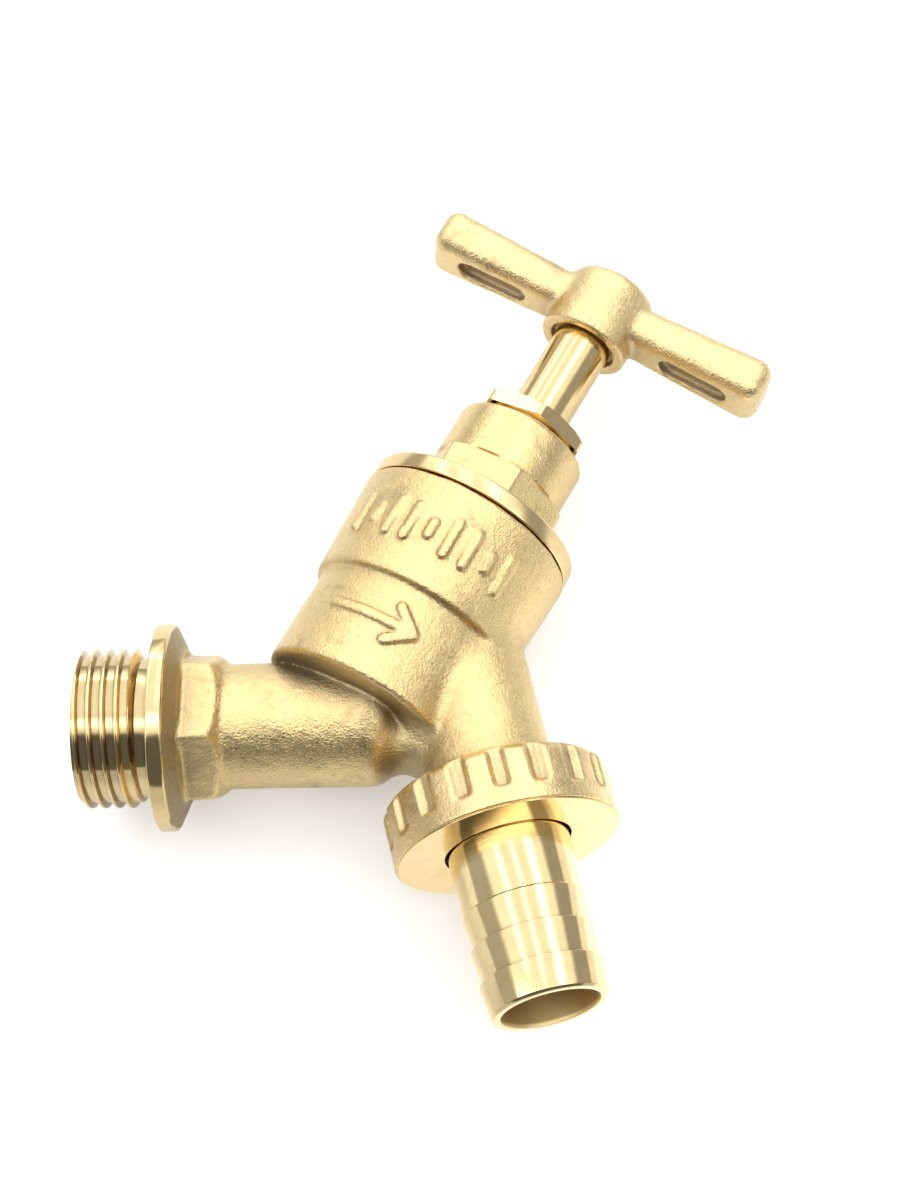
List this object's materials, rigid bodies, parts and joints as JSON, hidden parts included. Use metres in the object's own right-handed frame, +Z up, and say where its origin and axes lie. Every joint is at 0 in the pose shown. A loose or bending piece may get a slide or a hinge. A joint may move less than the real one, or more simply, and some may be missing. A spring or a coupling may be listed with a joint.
{
  "type": "hose bib",
  "caption": "Brass hose-union bib tap: threaded wall inlet, sloping screw-down valve with crutch handle, barbed hose tail held by a union nut.",
  "frame": {"origin": "centre of the wall flange's sealing face, on the inlet axis", "axes": "+X along the inlet axis, out of the wall towards the spout; +Z up, towards the handle; the tap's three axes lie in Y = 0"},
  "size_m": [0.0927, 0.0304, 0.1172],
  "materials": {
    "cast_brass": "sand-cast, shot-blasted, with a fine grain",
    "machined_brass": "turned and polished",
    "black_rubber": "moulded, matt",
    "red_fibre": "pressed vulcanised fibre",
    "white_packing": "braided PTFE packing",
    "dark_steel": "blackened socket screw"
  },
  "bodies": {
    "tap_body": {"valve_body": "cast_brass", "bonnet": "cast_brass", "bonnet_washer": "red_fibre", "gland_packing": "white_packing", "gland_follower": "machined_brass", "gland_nut": "machined_brass"},
    "jumper": {"jumper_valve": "machined_brass", "jumper_washer": "black_rubber", "jumper_washer_nut": "machined_brass"},
    "spindle_and_handle": {"spindle": "machined_brass", "crutch_handle": "cast_brass", "handle_grub_screw": "dark_steel"},
    "union_washer": {"hose_washer": "black_rubber"},
    "tail": {"hose_tail": "machined_brass"},
    "nut": {"union_nut": "cast_brass"}
  },
  "joints": [
    {"name": "jumper_lift", "type": "slide", "parent": "tap_body", "child": "jumper", "axis": [0.4818, 0, 0.8763], "range_m": [-0.005, 0.00125]},
    {"name": "handle_turn", "type": "hinge", "parent": "jumper", "child": "spindle_and_handle", "pos_m": [0.0248, 0, 0], "axis": [0.4818, 0, 0.8763], "range_deg": [-720, 180]},
    {"name": "union_slide", "type": "slide", "parent": "tap_body", "child": "union_washer", "axis": [0.2351, 0, -0.972], "range_m": [0, 0.00272]},
    {"name": "union_nut_turn", "type": "hinge", "parent": "union_washer", "child": "nut", "pos_m": [0.0413, 0, 0], "axis": [0.2351, 0, -0.972], "range_deg": [0, 540]},
    {"name": "hose_tail_swivel", "type": "hinge", "parent": "union_washer", "child": "tail", "pos_m": [0.0413, 0, 0], "axis": [0.2351, 0, -0.972], "continuous": true}
  ],
  "couplings": [
    {"joint": "jumper_lift", "follows": "handle_turn", "m_per_rad": 0.00039789},
    {"joint": "union_slide", "follows": "union_nut_turn", "m_per_rad": 0.00028871}
  ]
}
